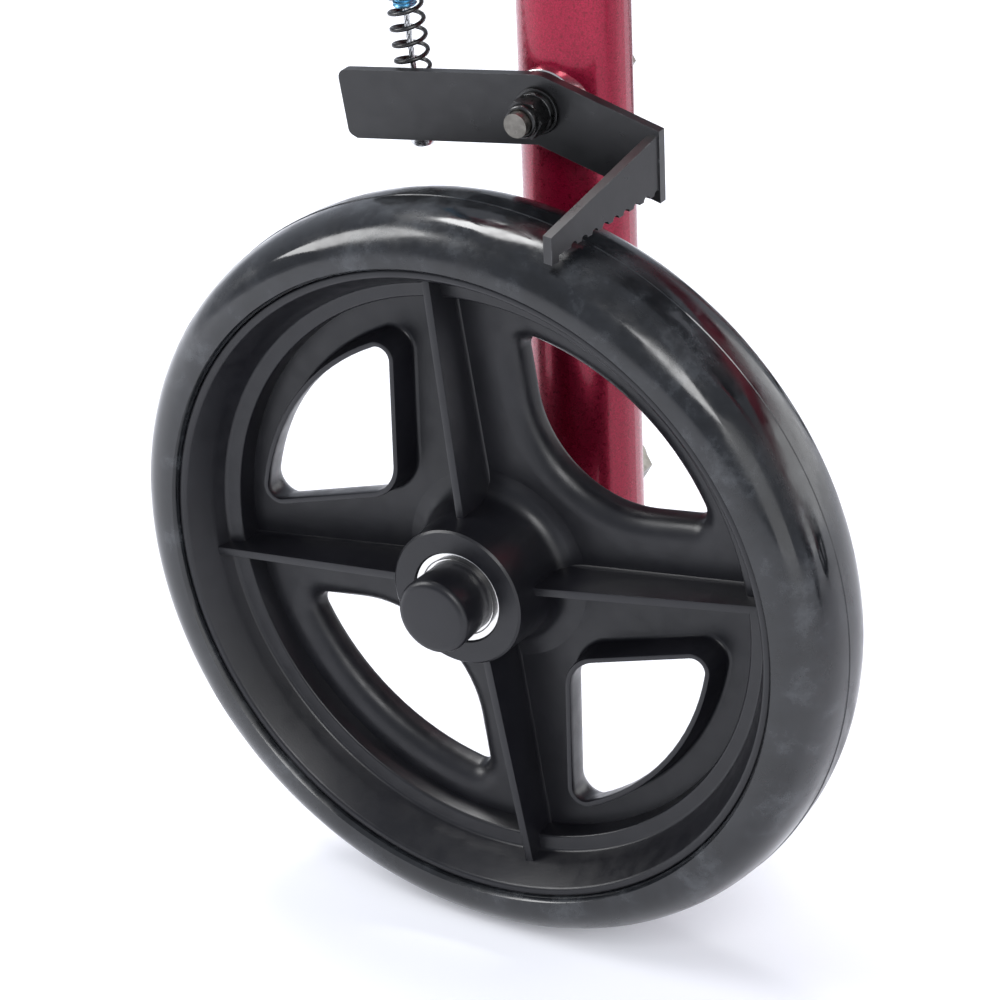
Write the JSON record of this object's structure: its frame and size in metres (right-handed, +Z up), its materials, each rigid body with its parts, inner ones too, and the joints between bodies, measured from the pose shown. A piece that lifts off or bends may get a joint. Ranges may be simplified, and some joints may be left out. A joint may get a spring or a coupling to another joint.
{
  "type": "knee scooter",
  "caption": "Wheeled knee walker: padded knee rest on a beam, folding steering column with handlebar, solid spoked wheels and lever-worked arm brakes on the rear tyres.",
  "frame": {"origin": "on the floor below the middle of the wheelbase and of the width", "axes": "+X forward along the direction of travel, +Y to the rider's left, +Z up"},
  "size_m": [0.75, 0.539, 0.9],
  "materials": {
    "crimson_paint": "gloss metallic crimson paint over steel tube",
    "black_steel": "satin black painted steel",
    "black_plastic": "satin black moulded plastic",
    "tyre": "glossy solid black tyre",
    "dark_zinc": "dark zinc plated steel",
    "bright_steel": "polished steel",
    "satin_steel": "satin plated steel tube",
    "blue_anodised": "light blue anodised",
    "vinyl": "black vinyl over foam",
    "board": "black stained plywood",
    "grip_rubber": "black rubber",
    "cable_sleeve": "black cable sleeve"
  },
  "bodies": {
    "frame": {"rear_arch": "crimson_paint", "main_beam": "crimson_paint", "head_tube": "crimson_paint", "seat_tube": "crimson_paint", "beam_end_cap": "black_plastic", "rear_leg_plugs": "black_plastic", "headset_cups": "black_plastic", "seat_clamp_collar": "black_steel", "cable_stops": "crimson_paint", "cable_adjusters": "blue_anodised", "rear_cables": "cable_sleeve", "brake_spring_right": "dark_zinc", "brake_spring_left": "dark_zinc", "pivot_bolts": "dark_zinc", "pivot_nuts": "dark_zinc", "pivot_saddles": "dark_zinc", "rear_axles": "dark_zinc", "rear_axle_nuts": "dark_zinc", "rear_spacers": "dark_zinc", "rear_axle_caps": "black_plastic"},
    "seat_lever": {"seat_clamp_lever": "satin_steel"},
    "brake_right": {"brake_arm_right": "black_steel", "inner_cable_right": "dark_zinc"},
    "brake_left": {"brake_arm_left": "black_steel", "inner_cable_left": "dark_zinc"},
    "rear_wheel_right": {"rear_tyre_right": "tyre", "rear_rim_right": "black_plastic", "rear_bearings_right": "bright_steel"},
    "rear_wheel_left": {"rear_tyre_left": "tyre", "rear_rim_left": "black_plastic", "rear_bearings_left": "bright_steel"},
    "front_wheel_right": {"front_tyre_right": "tyre", "front_rim_right": "black_plastic", "front_bearings_right": "bright_steel"},
    "front_wheel_left": {"front_tyre_left": "tyre", "front_rim_left": "black_plastic", "front_bearings_left": "bright_steel"},
    "knee_rest": {"knee_post": "satin_steel", "pad_board": "board", "pad_bolts": "dark_zinc", "cushion_right": "vinyl", "cushion_left": "vinyl"},
    "fork": {"front_arch": "crimson_paint", "steerer": "crimson_paint", "front_leg_plugs": "black_plastic", "front_axles": "dark_zinc", "front_axle_nuts": "dark_zinc", "front_spacers": "dark_zinc", "front_axle_caps": "black_plastic", "fold_pin": "satin_steel"},
    "fold_catch": {"fold_lever": "black_steel"},
    "upper_column": {"column": "crimson_paint", "bar_clamp_collar": "black_steel"},
    "bar_catch": {"bar_clamp_lever": "satin_steel"},
    "bars": {"handlebar": "satin_steel", "grips": "grip_rubber", "lever_brackets": "black_plastic", "lever_cables": "cable_sleeve"},
    "lever_right": {"brake_lever_right": "black_steel"},
    "lever_left": {"brake_lever_left": "black_steel"}
  },
  "joints": [
    {"name": "rear_wheel_spin_right", "type": "hinge", "parent": "frame", "child": "rear_wheel_right", "pos_m": [-0.28, -0.24, 0.095], "axis": [0, 1, 0], "continuous": true},
    {"name": "front_wheel_spin_right", "type": "hinge", "parent": "fork", "child": "front_wheel_right", "pos_m": [0.28, -0.12, 0.095], "axis": [0, 1, 0], "continuous": true},
    {"name": "brake_arm_swing_right", "type": "hinge", "parent": "frame", "child": "brake_right", "pos_m": [-0.2774, -0.217, 0.2045], "axis": [0, 1, 0], "range_deg": [0, 3.2], "deforming": ["brake_spring_right", "inner_cable_right"]},
    {"name": "rear_wheel_spin_left", "type": "hinge", "parent": "frame", "child": "rear_wheel_left", "pos_m": [-0.28, 0.24, 0.095], "axis": [0, 1, 0], "continuous": true},
    {"name": "front_wheel_spin_left", "type": "hinge", "parent": "fork", "child": "front_wheel_left", "pos_m": [0.28, 0.12, 0.095], "axis": [0, 1, 0], "continuous": true},
    {"name": "brake_arm_swing_left", "type": "hinge", "parent": "frame", "child": "brake_left", "pos_m": [-0.2774, 0.217, 0.2045], "axis": [0, 1, 0], "range_deg": [0, 3.2], "deforming": ["brake_spring_left", "inner_cable_left"]},
    {"name": "steering", "type": "hinge", "parent": "frame", "child": "fork", "pos_m": [0.28, 0, 0.31], "axis": [0, 0, 1], "range_deg": [-35, 35]},
    {"name": "column_fold", "type": "hinge", "parent": "fork", "child": "upper_column", "pos_m": [0.28, 0, 0.54], "axis": [0, -1, 0], "range_deg": [0, 78]},
    {"name": "fold_lever_swing", "type": "hinge", "parent": "fork", "child": "fold_catch", "pos_m": [0.28, 0.0353, 0.54], "axis": [1, 0, 0], "range_deg": [0, 75]},
    {"name": "bar_height", "type": "slide", "parent": "upper_column", "child": "bars", "axis": [0, 0, 1], "range_m": [0, 0.12]},
    {"name": "bar_lever_swing", "type": "hinge", "parent": "upper_column", "child": "bar_catch", "pos_m": [0.2535, 0.027, 0.748], "axis": [0, 0, 1], "range_deg": [0, 75]},
    {"name": "knee_height", "type": "slide", "parent": "frame", "child": "knee_rest", "axis": [0, 0, 1], "range_m": [0, 0.06]},
    {"name": "seat_lever_swing", "type": "hinge", "parent": "frame", "child": "seat_lever", "pos_m": [-0.088, 0.027, 0.361], "axis": [0, 0, 1], "range_deg": [0, 75]},
    {"name": "brake_lever_pull_right", "type": "hinge", "parent": "bars", "child": "lever_right", "pos_m": [0.318, -0.084, 0.88], "axis": [0, 0, -1], "range_deg": [0, 12], "stiffness_Nm_per_rad": 1.5, "springref_deg": -17.19},
    {"name": "brake_lever_pull_left", "type": "hinge", "parent": "bars", "child": "lever_left", "pos_m": [0.318, 0.084, 0.88], "axis": [0, 0, 1], "range_deg": [0, 12], "stiffness_Nm_per_rad": 1.5, "springref_deg": -17.19}
  ],
  "couplings": [
    {"joint": "brake_arm_swing_right", "follows": "brake_lever_pull_right", "ratio": 0.26667},
    {"joint": "brake_arm_swing_left", "follows": "brake_lever_pull_left", "ratio": 0.26667}
  ]
}
